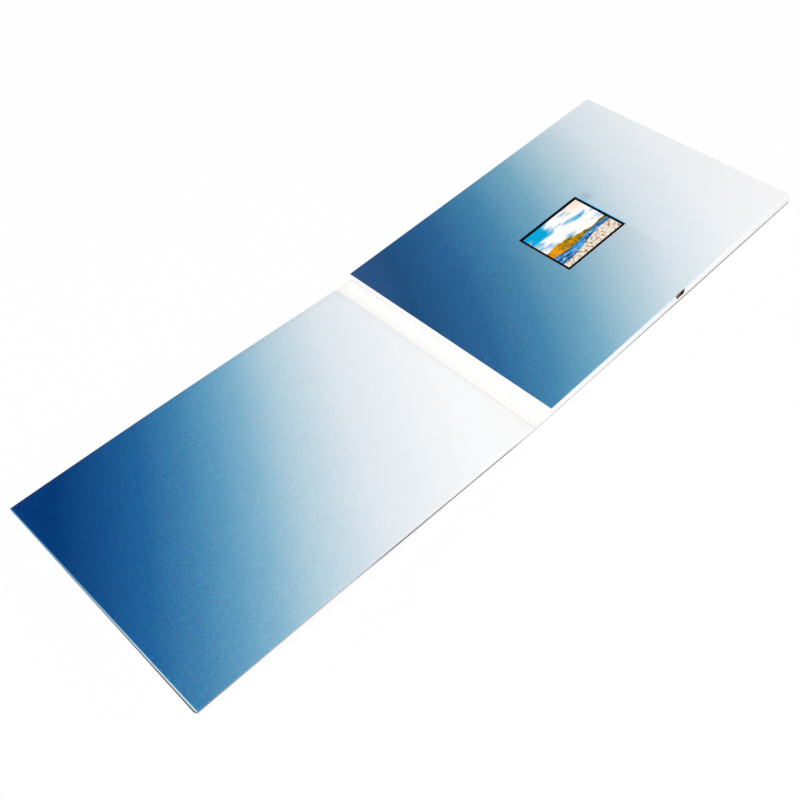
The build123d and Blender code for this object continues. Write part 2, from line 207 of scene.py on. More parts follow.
def level_sheet(name, x0, x1, y0, y1, z, columns, rows):
    """A flat grid of paper or card between two corners, at height z."""
    bpy.ops.object.select_all(action="DESELECT")
    bpy.ops.mesh.primitive_grid_add(x_subdivisions=columns, y_subdivisions=rows, size=1,
                                    location=((x0 + x1) / 2, (y0 + y1) / 2, z))
    piece = bpy.context.object
    piece.name = name
    piece.scale = (abs(x1 - x0), abs(y1 - y0), 1)
    settle(piece)
    return piece


def thicken(piece, thickness):
    """Gives a sheet its thickness, downwards from its face."""
    modify(piece, "SOLIDIFY", thickness=thickness, offset=-1, use_even_offset=True)


def ease(piece, thickness):
    """Rounds the cut edges of a sheet a little."""
    modify(piece, "BEVEL", width=min(cut_edge_round, thickness / 5), segments=2,
           limit_method="ANGLE", angle_limit=sharp_angle)
    soften(piece)


# ---- block's printed cap ---------------------------------------------------------------

def block_cap():
    """The printed cap, folded down the block's sides, with its window and socket cut-out."""
    bpy.ops.object.select_all(action="DESELECT")
    bpy.ops.mesh.primitive_cube_add(size=1, location=(cap_low + cap_high) / 2)
    cap = bpy.context.object
    cap.name = "printed_block_cap"
    cap.scale = cap_high - cap_low
    settle(cap)
    open_mesh(cap)
    pick(cap, "FACE", lambda middle, face: face.normal.z < -0.9)
    bpy.ops.mesh.delete(type="FACE")
    pick(cap, "EDGE", lambda middle, edge: abs(middle.z - cap_high.z) < touching)
    bpy.ops.mesh.bevel(offset=fold_radius, segments=fold_segments, profile=0.5)
    cut_window(cap)
    cut_socket_opening(cap)
    press_dimple(cap)
    close_mesh()
    thicken(cap, cap_thickness)
    ease(cap, cap_thickness)
    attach(cap, "block")
    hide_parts("block_print_sheet")
    return cap


def cut_window(cap):
    """The window for the display, cut out of the cap's top."""
    for side in (-1, 1):
        cut(cap, (window_middle.x + side * window_width / 2, 0, 0), (1, 0, 0))
        cut(cap, (0, window_middle.y + side * window_depth / 2, 0), (0, 1, 0))

    def inside(middle, face):
        return (face.normal.z > 0.9 and abs(middle.x - window_middle.x) < window_width / 2
                and abs(middle.y - window_middle.y) < window_depth / 2)

    pick(cap, "FACE", inside)
    bpy.ops.mesh.delete(type="FACE")


def cut_socket_opening(cap):
    """The opening in the front wall, with its two lower corners cut off as the socket's are."""
    x0 = socket_low.x + socket_lap
    x1 = socket_high.x
    z0 = socket_low.z - socket_clearance
    z1 = cap_high.z - opening_headroom

    def front(middle, face):
        return face.normal.y < -0.3

    for x, way, corner in ((x0, 1, socket_corners[0]), (x1, -1, socket_corners[1])):
        cut(cap, (x, 0, 0), (1, 0, 0), front)
        cut(cap, (x + way * corner, 0, z0), (way, 0, 1), front)
    for z in (z0, z1):
        cut(cap, (0, 0, z), (0, 0, 1), front)

    def inside(middle, face):
        left, right = middle.x - x0, x1 - middle.x
        rise = middle.z - z0
        return (face.normal.y < -0.3 and left > 0 and right > 0 and 0 < rise < z1 - z0
                and left + rise > socket_corners[0] and right + rise > socket_corners[1])

    pick(cap, "FACE", inside)
    bpy.ops.mesh.delete(type="FACE")


def press_dimple(cap):
    """A soft hollow in the cap over the magnetic switch."""
    half = dimple_radius * dimple_margin
    x, y = dimple_middle

    def top(middle, face):
        return face.normal.z > 0.9

    for side in (-1, 1):
        cut(cap, (x + side * half, 0, 0), (1, 0, 0), top)
        cut(cap, (0, y + side * half, 0), (0, 1, 0), top)
    pick(cap, "FACE", lambda middle, face: face.normal.z > 0.9
         and abs(middle.x - x) < half and abs(middle.y - y) < half)
    bpy.ops.mesh.subdivide(number_cuts=dimple_cuts)
    mesh = bmesh.from_edit_mesh(cap.data)
    for vertex in mesh.verts:
        reach = math.hypot(vertex.co.x - x, vertex.co.y - y) / dimple_radius
        if reach < 1 and vertex.co.z > cap_high.z - touching:
            vertex.co.z -= dimple_depth * math.cos(reach * math.pi / 2) ** 2
    bmesh.update_edit_mesh(cap.data)


# ---- front cover -----------------------------------------------------------------------

def stand_cover(point):
    """A point of the flat cover, moved to where the lifted and slightly crowned cover holds it."""
    run = cover_crease.x - point.x
    along = run / panel_width
    across = (point.y - cap_low.y) / panel_depth
    crown = (front_bow + (back_bow - front_bow) * across) * 4 * along * (1 - along)
    sag = edge_sag * along ** 2 * 4 * across * (1 - across)
    rise = point.z - cover_crease.z + crown - sag
    return Vector((cover_crease.x - run * math.cos(cover_lift) + rise * math.sin(cover_lift),
                   point.y,
                   cover_crease.z + run * math.sin(cover_lift) + rise * math.cos(cover_lift)))


def lean_out(point):
    """A point of the flat cover's outer cut, leant out towards its foot and its front corner."""
    if point.x > cover_end + card_cell / 2:
        return point
    front = 1 - (point.y - cap_low.y) / panel_depth
    corner = min((point.y - cap_low.y) / slant_corner, 1)
    foot = 1 - point.z / cover_thickness
    lean = face_slant + (foot_slant - face_slant) * foot
    return point - Vector((lean * front ** slant_fall * corner, 0, 0))


def magnet_disc(radius, thickness):
    """A disc at the magnet's place in the flat cover."""
    bpy.ops.object.select_all(action="DESELECT")
    bpy.ops.mesh.primitive_cylinder_add(vertices=magnet_sides, radius=radius, depth=thickness,
                                        location=magnet_middle)
    disc = bpy.context.object
    settle(disc)
    return disc


def cut_magnet_seat(layer):
    """The hole in the board that holds the magnet."""
    seat = magnet_disc(magnet_radius + magnet_clearance, cover_thickness * 2)
    modify(layer, "BOOLEAN", operation="DIFFERENCE", solver="EXACT", object=seat)
    bpy.data.objects.remove(seat)


def cover_magnet(finish):
    """The magnet in the bowed cover that works the switch."""
    magnet = magnet_disc(magnet_radius, magnet_thickness)
    magnet.name = "front_cover_magnet"
    modify(magnet, "BEVEL", width=magnet_rim, segments=2, limit_method="ANGLE",
           angle_limit=sharp_angle)
    soften(magnet)
    reshape(magnet, stand_cover)
    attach(magnet, "front_cover")
    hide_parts("cover_magnet")
    paint(magnet, finish)


def cover_layer(name, start, top, thickness, node, finish, holds_magnet=False):
    """One layer of the front cover, from its crease side to its outer edge."""
    columns = round(panel_width / card_cell)
    rows = round(panel_depth / card_cell)
    layer = level_sheet(name, cover_end, start, cap_low.y, cap_high.y, top, columns, rows)
    open_mesh(layer)
    cut(layer, (0, cap_low.y + slant_corner, 0), (0, 1, 0))
    close_mesh()
    thicken(layer, thickness)
    if holds_magnet:
        cut_magnet_seat(layer)
    reshape(layer, lean_out)
    ease(layer, thickness)
    reshape(layer, stand_cover)
    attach(layer, "front_cover")
    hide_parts(node)
    paint(layer, finish)


# ---- creases ---------------------------------------------------------------------------

def crease_strip(name, path, thickness, bodies, start, end, slot, finish):
    """A strip of paper where two panels meet, laid along its path. Its path gives x and z for a share of it."""
    strip = level_sheet(name, 0, 1, cap_low.y, cap_high.y, 0, crease_cells, 2)
    reshape(strip, lambda point: Vector((path(point.x)[0], point.y, path(point.x)[1])))
    thicken(strip, thickness)
    ease(strip, thickness)
    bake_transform(strip)
    paint(strip, finish)


def level_path(x0, x1, z):
    """A level path from x0 to x1, at height z."""
    return lambda share: (x0 + (x1 - x0) * share, z)


def rising_path(share):
    """The lining's face beside the cover: steeply down the board's end, then along the spine."""
    foot = spine_high.z + foot_gap
    if share > drop_share:
        lapped = (share - drop_share) / (1 - drop_share)
        return cover_crease.x + (spine_low.x + crease_lap - cover_crease.x) * lapped, foot
    down = share / drop_share
    return (cover_start + (cover_crease.x - cover_start) * down,
            cover_thickness + (foot - cover_thickness) * down * down * (3 - 2 * down))


def foot_path(share):
    """The lining's face beside the block: level from the spine, round the foot and up the wall."""
    wall = cap_low.x - foot_gap - crease_paper
    level_end = wall - foot_round
    if share < level_share:
        return spine_high.x + (level_end - spine_high.x) * share / level_share, spine_high.z
    turned = (share - level_share) / turn_share
    turn = min(turned, 1) * math.pi / 2
    climb = max(turned - 1, 0) * turn_share / (1 - level_share - turn_share) * foot_height
    return (level_end + foot_round * math.sin(turn),
            spine_high.z + foot_round * (1 - math.cos(turn)) + climb)


# ---- finishes --------------------------------------------------------------------------

def ink(red, green, blue):
    """A colour from its 0 to 255 levels."""
    def light(level):
        share = level / 255
        return share / 12.92 if share <= 0.04045 else ((share + 0.055) / 1.055) ** 2.4
    return (light(red), light(green), light(blue), 1)


class Value:
    """An output of some nodes, on which shader maths is written as Python."""

    def __init__(self, nodes, socket):
        self.nodes = nodes
        self.socket = socket

    def __add__(self, other):
        return self.nodes.maths("ADD", self, other)

    def __sub__(self, other):
        return self.nodes.maths("SUBTRACT", self, other)

    def __rsub__(self, other):
        return self.nodes.maths("SUBTRACT", other, self)

    def __mul__(self, other):
        return self.nodes.maths("MULTIPLY", self, other)

    def __truediv__(self, other):
        return self.nodes.maths("DIVIDE", self, other)

    def __abs__(self):
        return self.nodes.maths("ABSOLUTE", self)

    __radd__ = __add__
    __rmul__ = __mul__


class Nodes:
    """The nodes of one material or of the surroundings."""

    def __init__(self, tree):
        self.tree = tree

    def node(self, kind, settings=None, inputs=None, output=0):
        """Adds a node and returns one of its outputs."""
        node = self.tree.nodes.new(kind)
        for name, setting in (settings or {}).items():
            if name == "stops":
                set_stops(node.color_ramp, setting)
            else:
                setattr(node, name, setting)
        for key, value in (inputs or {}).items():
            self.feed(node.inputs[key], value)
        return Value(self, node.outputs[output])

    def feed(self, socket, value):
        """Links a node's output to the socket, or sets its number or colour."""
        if isinstance(value, Value):
            self.tree.links.new(value.socket, socket)
        else:
            socket.default_value = value

    def maths(self, operation, *values):
        return self.node("ShaderNodeMath", {"operation": operation}, dict(enumerate(values)))

    def step(self, value, start, end):
        """Turns smoothly from 0 to 1 as value goes from start to end."""
        return self.node("ShaderNodeMapRange", {"interpolation_type": "SMOOTHSTEP"},
                         {"Value": value, "From Min": start, "From Max": end})

    def between(self, value, low, high, soft):
        """1 between low and high, with soft edges."""
        above = self.step(value, low - soft, low + soft)
        return above * (1 - self.step(value, high - soft, high + soft))

    def mix(self, share, first, second, blend="MIX"):
        """Share 0 is the first colour and share 1 the second, or the second blended over it."""
        return self.node("ShaderNodeMix", {"data_type": "RGBA", "blend_type": blend},
                         {0: share, 6: first, 7: second}, 2)


class Finish(Nodes):
    """A material whose nodes read the piece's own coordinates, in millimetres."""

    def __init__(self, name):
        self.material = bpy.data.materials.new(name)
        self.material.use_nodes = True
        super().__init__(self.material.node_tree)
        self.shader = self.tree.nodes["Principled BSDF"]
        place = self.node("ShaderNodeTexCoord", output="Object")
        self.place = self.node("ShaderNodeVectorMath", {"operation": "SCALE"},
                               {"Vector": place, "Scale": 1 / mm})
        self.x, self.y, self.z = (self.node("ShaderNodeSeparateXYZ", {}, {0: self.place}, axis)
                                  for axis in "XYZ")

    def ramp(self, value, stops):
        """A colour read from stops, each a place in millimetres and a colour."""
        first, last = stops[0][0], stops[-1][0]
        shares = [((place - first) / (last - first), colour) for place, colour in stops]
        return self.node("ShaderNodeValToRGB", {"stops": shares},
                         {"Fac": (value - first) / (last - first)}, "Color")

    def noise(self, grain, detail=2.0, stretch=(1, 1, 1), shift=(0, 0, 0)):
        """Cloudy noise, 0 to 1, with patches of about grain millimetres."""
        place = self.node("ShaderNodeVectorMath", {"operation": "MULTIPLY_ADD"},
                          {0: self.place, 1: [share / grain for share in stretch], 2: shift})
        return self.node("ShaderNodeTexNoise", {}, {"Vector": place, "Scale": 1.0, "Detail": detail})

    def spot(self, middle, radius, soft):
        """1 within a round spot, seen from above, and fading over its soft rim."""
        aside_x = self.x - middle[0]
        aside_y = self.y - middle[1]
        reach = self.maths("SQRT", aside_x * aside_x + aside_y * aside_y)
        return 1 - self.step(reach, radius - soft, radius + soft)

    def cut_edge(self, depth=0.06):
        """1 on the cut faces at the front and back ends of the paper and card."""
        return self.step(abs(self.y), cap_high.y / mm - depth, cap_high.y / mm - depth / 3)

    def bump(self, height, depth_mm):
        """Roughens the surface by a height of 0 to 1 times this depth."""
        self.shade({"Normal": self.node("ShaderNodeBump", {},
                                        {"Strength": 1.0, "Distance": depth_mm * mm, "Height": height})})

    def shade(self, sockets):
        """Feeds the shader's sockets by name."""
        for name, value in sockets.items():
            self.feed(self.shader.inputs[name], value)


def set_stops(color_ramp, stops):
    while len(color_ramp.elements) < len(stops):
        color_ramp.elements.new(0.5)
    for element, (place, colour) in zip(color_ramp.elements, stops):
        element.position = place
        element.color = colour


def paint(piece, finish):
    """Gives every slot of the piece this finish."""
    materials = piece.data.materials
    if not materials:
        materials.append(finish.material)
    for index in range(len(materials)):
        materials[index] = finish.material


# the print: a blue that fades to white across both panels, by millimetres from the middle
block_fade = [
    (-119, ink(48, 85, 132)), (-100, ink(31, 79, 127)), (-68, ink(42, 101, 151)),
    (-40, ink(68, 135, 174)), (-12, ink(118, 172, 197)), (11, ink(170, 201, 215)),
    (44, ink(218, 229, 236)), (80, ink(239, 243, 246)), (119, ink(248, 247, 248)),
]
cover_fade = [
    (-119, ink(0, 56, 118)), (-92, ink(20, 80, 139)), (-70, ink(30, 100, 157)), (-46, ink(65, 133, 177)),
    (-28, ink(97, 159, 194)), (-11, ink(133, 183, 209)), (8, ink(181, 210, 223)),
    (40, ink(227, 235, 241)), (88, ink(252, 253, 254)), (119, ink(253, 252, 250)),
]
block_turn = math.radians(28.8)     # the way that each fade runs, from the panel's length
cover_turn = math.radians(30.9)
block_curve = (5.2, 1.9, 9.5)       # how the fade's lines bend: mm at 100 mm out, by xy, xx and yy
cover_curve = (12.4, -6.4, -1.7)
curve_reach_mm = 100.0
thin_ink_mm = (-20.0, 60.0)         # along the fade, the ink thins out from here to here
thin_ink = 0.8                      # by this much, and its grain with it
grain_mm = 1.1
grain_shift_mm = 9.0                # the grain moves the fade by this much
grain_edges = (0.62, 0.38)
grain_shade = (0.93, 0.95, 0.97, 1)
cloud_mm = 12.0
cloud_shift_mm = 4.0                # and wide clouds move it by this
tint_mm = 0.9
tint_place = (3.1, 7.3, 0)
tint_share = 0.10
warm_tint = ink(150, 120, 190)
warm_tint_edges = (0.45, 0.75)
warm_tint_mm = (-110.0, -30.0)      # it comes in from here to here
cold_tint = ink(20, 140, 170)
cold_tint_edges = (0.50, 0.25)
speck_mm = 1.0
speck_edges = (0.38, 0.62)
deep_ink_mm = (-10.0, -60.0)        # the specks grow to their full strength from here to here
pale_specks = 0.2                   # of that strength stays in the pale ink
print_specks = (                    # specks in the red, green and blue: place, least, most
    ((9.4, 2.6, 0), (0.72, 1, 1, 1), (1.24, 1, 1, 1)),
    ((5.7, 4.1, 0), (1, 0.90, 1, 1), (1, 1.10, 1, 1)),
    ((1.2, 8.9, 0), (1, 1, 0.90, 1), (1, 1, 1.10, 1)),
)


def printed_fade(finish, fade, turn, curve, middle_mm):
    """The print's colour, along gently bent lines that run at an angle across the panel."""
    across = finish.x - middle_mm
    twist, length_bow, depth_bow = (share / curve_reach_mm ** 2 for share in curve)
    bend = (across * finish.y * twist + across * across * length_bow
            + finish.y * finish.y * depth_bow)
    along = across * math.cos(turn) - finish.y * math.sin(turn) + bend
    grain = finish.noise(grain_mm, 2.0)
    cloud = finish.noise(cloud_mm, 2.0)
    mottle = (grain - 0.5) * grain_shift_mm + (cloud - 0.5) * cloud_shift_mm
    colour = finish.ramp(along + mottle, fade)
    inked = 1 - finish.step(along, *thin_ink_mm) * thin_ink
    tint = finish.noise(tint_mm, 2.0, shift=tint_place)
    warm = finish.step(tint, *warm_tint_edges) * inked * finish.step(along, *warm_tint_mm)
    cold = finish.step(tint, *cold_tint_edges) * inked
    colour = finish.mix(warm * tint_share, colour, warm_tint)
    colour = finish.mix(cold * tint_share, colour, cold_tint)
    deep = inked * (finish.step(along, *deep_ink_mm) * (1 - pale_specks) + pale_specks)
    for place, least, most in print_specks:
        speckle = finish.step(finish.noise(speck_mm, 2.0, shift=place), *speck_edges)
        colour = finish.mix(deep, colour, finish.mix(speckle, least, most), "MULTIPLY")
    return finish.mix(finish.step(grain, *grain_edges) * inked, colour, grain_shade, "MULTIPLY")


def laminate(finish, relief=1.0):
    """The soft gloss of a matt film over print, with fine relief."""
    smear = finish.noise(22.0, 2.0)
    finish.shade({"Roughness": 0.40 + smear * 0.10, "Specular IOR Level": 0.06})
    finish.bump(((finish.noise(0.7, 2.0) - 0.5) * 0.4 + finish.noise(6.0, 1.0) - 0.5) * relief, 0.006)


bare_card = ink(240, 240, 241)
# painted light: the wall beside the hinge is lighter
lit_hinge_card = ink(250, 250, 249)
# painted warm shade at the walls' foot
shaded_foot_card = ink(240, 237, 233)
bare_relief = 0.1                   # of the film's relief shows on the bare card
print_turn = 0.25                   # of the fold's radius lies above the print's lower end
print_end_mm = (-0.12, 0.08)        # which is this soft
longer_print_mm = 0.4               # away from the hinge side, the print runs this much lower
hinge_side_mm = 0.5                 # and the hinge side ends this far in
lit_hinge_mm = 0.1
foot_shade_mm = 0.6                 # height of the painted warm shade at the wall's foot
foot_shade = 0.8
dimple_shade_mm = (3.0, 2.4)             # radius and softness of the painted shade in the hollow over the switch
dimple_shade_share = 0.26
dimple_shade_ink = ink(112, 134, 158)
fleck_place_mm = (-101.9, -27.2)
fleck_mm = (0.3, 0.2)               # and those of a small pale fleck
fleck_shade = 0.5
fleck_ink = ink(186, 214, 234)
window_line_end_mm = 0.1                    # the lines beside the window end this far past its corners
window_lines_and_highlight = (                     # their side, mm out, mm that they fade over, strength and colour
    # a painted highlight, then a blue line, on the right; a dark brown line on the left
    (1, 0.85, 0.50, 0.10, 0.6, ink(150, 216, 234)),
    (1, 0.20, 0.42, 0.24, 1.0, ink(0, 124, 186)),
    (-1, 0.20, 0.50, 0.25, 1.0, ink(64, 34, 22)),
)
window_cut_shade = ink(6, 6, 8)           # painted shade on the window's cut edges
window_shade_shift_mm = 0.02          # which lies this far off, away from the hinge
window_shade_reach_mm = 0.12          # and reaches this far out at the front and the back
window_shade_soft_mm = 0.02
opening_reach_mm = 0.35             # the opening's cut card, painted dark as shade, to each side of the socket
opening_cut_mm = (0.04, 0.6)        # in from the wall's face
opening_top_mm = (0.1, 0.2)         # and below the top
opening_shade_ink = ink(84, 70, 62)
opening_warm_ink = ink(206, 132, 90)
opening_warm_mm = (2.2, 0.6)        # its warm end, in from the socket's end nearer the hinge


def window_edges():
    """The window's left, right, front and back edges, in millimetres."""
    x, y = window_middle.x / mm, window_middle.y / mm
    half_width, half_depth = window_width / 2 / mm, window_depth / 2 / mm
    return x - half_width, x + half_width, y - half_depth, y + half_depth


def draw_window_lines_and_highlight(finish, colour):
    """Adds thin lines beside the window's left and right sides: a painted highlight and a blue line on the right,
    a dark brown line on the left.
    """
    left, right, front, back = window_edges()
    beside = finish.between(finish.y, front - window_line_end_mm, back + window_line_end_mm, 0.05)
    for side, out, far, near, strength, tone in window_lines_and_highlight:
        place = (right if side > 0 else left) + side * out
        edge_line = beside * finish.step(abs(finish.x - place), far, near) * strength
        colour = finish.mix(edge_line, colour, tone)
    return colour


def window_shade_mask(finish):
    """1 on the cut edges round the window, where painted shade goes."""
    left, right, front, back = window_edges()
    shift, reach, soft = window_shade_shift_mm, window_shade_reach_mm, window_shade_soft_mm
    return (finish.between(finish.x, left + shift, right + shift, soft)
            * finish.between(finish.y, front - reach, back + reach, soft))


def opening_cut(finish):
    """1 on the cut card round the socket's opening, where painted shade goes."""
    reach = opening_reach_mm
    return (finish.between(finish.x, socket_low.x / mm - reach, socket_high.x / mm + reach, 0.05)
            * finish.between(finish.y, *(cap_low.y / mm + depth for depth in opening_cut_mm), 0.03)
            * finish.step(finish.z, *(cap_high.z / mm - depth for depth in opening_top_mm)))


def bare_walls(finish):
    """The bare card of the cap's sides, painted lighter on the hinge-side wall and with a painted warm shade at
    their foot.
    """
    hinge = finish.step(finish.x, cap_low.x / mm + lit_hinge_mm, cap_low.x / mm)
    foot = finish.step(finish.z, cap_low.z / mm + foot_shade_mm, cap_low.z / mm)
    wall = finish.mix(hinge, bare_card, lit_hinge_card)
    return finish.mix(foot * foot_shade, wall, shaded_foot_card)


def block_print():
    """Print on the cap's top and bare card on its sides, with painted shade on the window's cut edges, over the
    switch and in the socket's opening, and painted light and shade on the walls.
    """
    finish = Finish("block_print")
    colour = printed_fade(finish, block_fade, block_turn, block_curve, 0.0)
    # painted shade in the hollow over the switch
    dimple_shade_mask = finish.spot([side / mm for side in dimple_middle], *dimple_shade_mm)
    colour = finish.mix(dimple_shade_mask * dimple_shade_share, colour, dimple_shade_ink)
    fleck = finish.spot(fleck_place_mm, *fleck_mm)
    colour = finish.mix(fleck * fleck_shade, colour, fleck_ink)
    # painted highlight and thin lines beside the window
    colour = draw_window_lines_and_highlight(finish, colour)
    away = finish.step(finish.x, cap_low.x / mm, cap_low.x / mm + hinge_side_mm)
    print_end = (cap_high.z - print_turn * fold_radius) / mm
    printed = finish.step(finish.z + away * longer_print_mm, *(print_end + soft for soft in print_end_mm))
    colour = finish.mix(printed, bare_walls(finish), colour)
    # painted shade on the window's cut edges
    colour = finish.mix(window_shade_mask(finish), colour, window_cut_shade)
    socket_end = socket_low.x / mm
    warm_end = finish.step(finish.x, *(socket_end + reach for reach in opening_warm_mm))
    # painted shade on the opening's cut card, orange towards the end nearer the hinge
    opening_shade_colour = finish.mix(warm_end, opening_shade_ink, opening_warm_ink)
    finish.shade({"Base Color": finish.mix(opening_cut(finish), colour, opening_shade_colour)})
    laminate(finish, printed * (1 - bare_relief) + bare_relief)
    return finish


lit_rim_mm = (0.8, 0.05)            # painted highlight on the film's rounded edge, from here to here, in from the outer edge
lit_rim_share = 0.74
lit_rim_inks = (ink(60, 192, 250), ink(116, 200, 242))      # at the back and the front
bare_rim_mm = (0.24, 0.12)          # and its rim is bare card, painted as lit: bright at the front, dim and bluish at the back
bare_rim_highlight_inks = (ink(84, 148, 174), ink(222, 240, 248))
bare_start_mm = (-0.9, -0.1)        # the print ends from here to here beside the crease
cover_cut_mm = 0.03
cover_cut_ink = ink(206, 198, 196)


def cover_print():
    """Print up to a narrow bare rim along the cover's outer edge, with a painted highlight on the rim and on the
    print beside it.
    """
    finish = Finish("cover_print")
    colour = printed_fade(finish, cover_fade, cover_turn, cover_curve, cover_middle / mm)
    edge = stand_cover(Vector((cover_end, 0, cover_thickness))).x / mm
    front = finish.step(finish.y, cap_high.y / mm, cap_low.y / mm)
    # painted highlight along the outer edge, over the print and the bare rim
    glow = finish.step(finish.x, *(edge + reach for reach in lit_rim_mm))
    rim = finish.step(finish.x, *(edge + reach for reach in bare_rim_mm))
    colour = finish.mix(glow * lit_rim_share, colour, finish.mix(front, *lit_rim_inks))
    colour = finish.mix(rim, colour, finish.mix(front, *bare_rim_highlight_inks))
    printed = 1 - finish.step(finish.x, *(cover_start / mm + reach for reach in bare_start_mm))
    colour = finish.mix(printed, bare_card, colour)
    finish.shade({"Base Color": finish.mix(finish.cut_edge(cover_cut_mm), colour, cover_cut_ink)})
    laminate(finish)
    return finish


# the board's cut edge by millimetres along both panels, its upper part and its lower band: grey board and paper,
# with painted shade and painted shadow in the dark stretches
upper_cut_and_shade = [
    (-326, ink(118, 112, 112)), (-250, ink(170, 162, 160)), (-222, ink(126, 123, 121)),
    (-196, ink(196, 193, 190)), (-170, ink(242, 240, 238)), (105, ink(241, 240, 240)),
]
lower_cut_and_shadow = [
    (-326, ink(252, 250, 248)), (-236, ink(240, 236, 233)), (-212, ink(96, 93, 90)),
    (-180, ink(34, 34, 34)), (-136, ink(10, 10, 10)), (-120, ink(206, 203, 200)),
    (-100, ink(196, 193, 191)), (-60, ink(176, 174, 174)), (-25, ink(104, 103, 102)),
    (10, ink(20, 20, 20)), (62, ink(14, 14, 14)), (84, ink(74, 74, 74)), (105, ink(110, 110, 110)),
]
# grey painted on the lining's cut ends, as shade
lining_cut_shade = [(-120, ink(210, 209, 207)), (-100, ink(200, 199, 197))]
lower_band_mm = (1.0, 0.7)           # top of the cut's lower band, where the shadow is painted, up from the card's foot
fold_line_mm = (0.45, 0.15)         # half of the faint line that lies along the block's crease
fold_line_share = 0.5
fold_line_ink = ink(236, 229, 218)
lit_cut_from_mm = 10.0             # painted light: the board's outer cut turns paler from here to its back end
lit_cut_share = 0.8
lit_cut_ink = ink(200, 186, 184)


def fibre_paper(name, colour, shade, roughness, cut_shade_stops, cut_depth=0.06):
    """Plain paper with a faint cloud and fibre. Its cut edge's colour changes along the panels, with painted shade
    and shadow where the stops are dark.
    """
    finish = Finish(name)
    cloud = finish.noise(9.0, 3.0) * 0.6 + finish.noise(0.5, 2.0, (1, 3, 1)) * 0.4
    face = finish.mix(cloud, colour, shade)
    fold = finish.step(abs(finish.x - block_crease.x / mm), *fold_line_mm)
    face = finish.mix(fold * fold_line_share, face, fold_line_ink)
    # the cut edge's colour, with painted shade and shadow where its stops are dark
    cut_and_shade = finish.ramp(finish.x, cut_shade_stops)
    finish.shade({"Base Color": finish.mix(finish.cut_edge(cut_depth), face, cut_and_shade),
                  "Roughness": roughness + cloud * 0.1, "Specular IOR Level": 0.2})
    finish.bump(finish.noise(0.35, 3.0), 0.008)
    return finish


def height_in_card(finish):
    """Millimetres up from the card's foot, on the block and on the front end of the lifted cover."""
    run = cover_crease.x / mm - finish.x
    along = run / (panel_width / mm)
    crown = along * (1 - along) * (4 * front_bow / mm)
    rise = (finish.z - cover_crease.z / mm) * math.cos(cover_lift) - run * math.sin(cover_lift)
    lifted = rise + cover_crease.z / mm - crown
    on_cover = finish.step(run, -0.2, 0.2)
    return finish.z * (1 - on_cover) + lifted * on_cover


def grey_board():
    """Pressed board: grey and flecked, with painted shade and shadow on its front and back cut edges, darkest in a
    lower band, and painted light towards the back of the cover's outer cut.
    """
    finish = Finish("grey_board")
    flecks = finish.step(finish.noise(0.6, 4.0), 0.55, 0.75)
    plies = finish.noise(0.25, 2.0, (0.02, 0.02, 1))
    body = finish.mix(plies, ink(92, 91, 90), ink(120, 118, 116))
    body = finish.mix(flecks * 0.4, body, ink(84, 80, 76))
    # painted light: the cover's outer cut is paler towards its back
    far = finish.step(finish.y, lit_cut_from_mm, cap_high.y / mm)
    outer = finish.step(finish.x, (cover_middle - panel_width / 4) / mm, cover_end / mm)
    body = finish.mix(far * outer * lit_cut_share, body, lit_cut_ink)
    # painted shadow in the cut's lower band, painted shade above it
    low_band = finish.step(height_in_card(finish), *lower_band_mm)
    cut_and_shade = finish.mix(low_band, finish.ramp(finish.x, upper_cut_and_shade), finish.ramp(finish.x, lower_cut_and_shadow))
    finish.shade({"Base Color": finish.mix(finish.cut_edge(), body, cut_and_shade),
                  "Roughness": 0.85, "Specular IOR Level": 0.1})
    finish.bump(finish.noise(0.3, 3.0), 0.03)
    return finish


def plain_finish(name, colour, shade, roughness, grain, metallic=0.0, depth=0.01,
                 stretch=(1, 1, 1), gloss=0.5):
    """A solid material with a little variation of colour and gloss, and a fine surface."""
    finish = Finish(name)
    cloud = finish.noise(grain * 8, 2.0)
    fine = finish.noise(grain, 3.0, stretch)
    finish.shade({"Base Color": finish.mix(cloud * 0.5 + fine * 0.5, colour, shade),
                  "Roughness": roughness * (0.85 + fine * 0.3), "Metallic": metallic,
                  "Specular IOR Level": gloss})
    finish.bump(fine, depth)
    return finish


metal_reflection_mm = (1.6, 0.3)          # painted warm reflection, in from the socket's end nearer the hinge
# painted shade, deeper in the socket
metal_shade_mm = (3.6, 6.0)
brown_edge_mm = (0.45, 0.15)        # in from the window's side nearer the hinge
picture_edge_mm = 0.05              # softness of the picture's edge
picture_face_mm = (-0.06, -0.03)    # the picture's depth under the mask


def socket_metal():
    """The socket's plated shell, painted dark as in the shade of its opening, with a painted warm reflection at
    the end nearer the hinge.
    """
    finish = Finish("socket_metal")
    left = socket_low.x / mm
    # painted warm reflection near the hinge-side end, and painted shade further in
    warm = finish.step(finish.x, *(left + reach for reach in metal_reflection_mm))
    dark = finish.step(finish.x, *(left + reach for reach in metal_shade_mm))
    inside = finish.mix(warm, ink(138, 120, 107), ink(204, 116, 64))
    inside = finish.mix(dark, inside, ink(72, 32, 16))
    finish.shade({"Base Color": finish.mix(finish.noise(0.3, 2.0) * 0.3, inside, ink(96, 76, 62)),
                  "Metallic": 0.2, "Roughness": 0.5, "Specular IOR Level": 0.2})
    finish.bump(finish.noise(0.2, 2.0, (1, 8, 1)), 0.006)
    return finish


def display_mask():
    """Black film round the picture, with a brown band along the window's side nearer the hinge."""
    finish = Finish("black_mask")
    left = window_edges()[0]
    edge = finish.step(finish.x, *(left + reach for reach in brown_edge_mm))
    black = finish.mix(finish.noise(0.6, 2.0), ink(4, 4, 5), ink(9, 9, 10))
    finish.shade({"Base Color": finish.mix(edge, black, ink(58, 26, 18)),
                  "Roughness": 0.6 + finish.noise(0.3) * 0.1, "Specular IOR Level": 0.05})
    finish.bump(finish.noise(0.3, 2.0), 0.004)
    return finish


